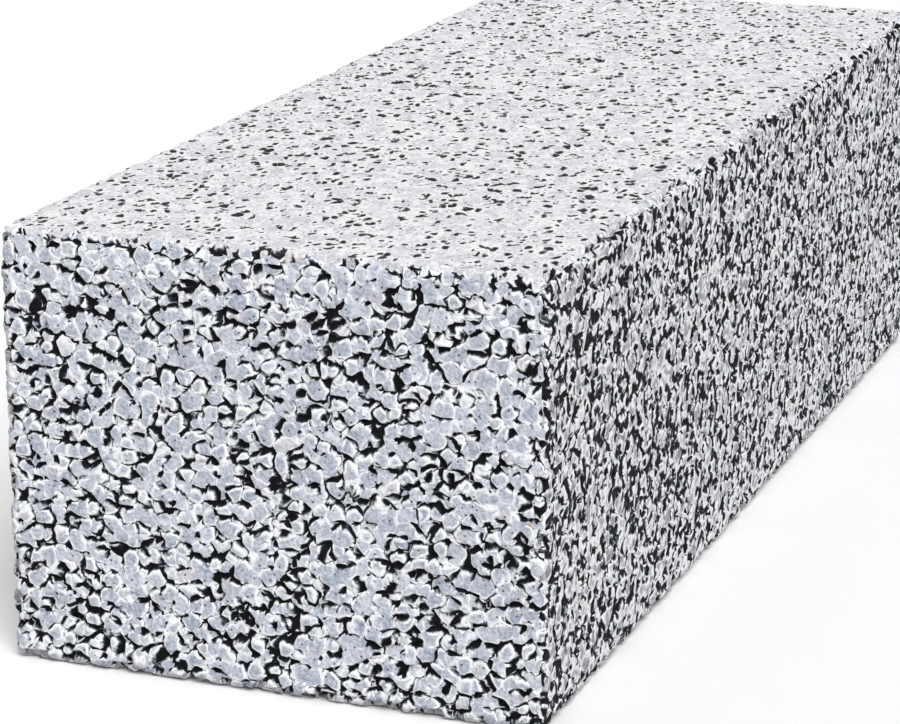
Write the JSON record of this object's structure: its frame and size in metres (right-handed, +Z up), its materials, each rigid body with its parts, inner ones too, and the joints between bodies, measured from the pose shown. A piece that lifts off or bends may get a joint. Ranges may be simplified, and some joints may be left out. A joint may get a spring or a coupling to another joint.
{
  "type": "solid lightweight concrete block",
  "caption": "Solid rectangular masonry block of open-textured lightweight-aggregate concrete with softly rounded arrises, for laying in mortar.",
  "frame": {"origin": "middle of the underside, on the plane the block lies on", "axes": "+X along the length, +Y across the width, +Z up"},
  "size_m": [0.49, 0.19, 0.15],
  "materials": {
    "concrete": "matt, open-textured, light grey pellets with dark voids between them"
  },
  "bodies": {
    "root": {"block": "concrete"}
  },
  "joints": []
}
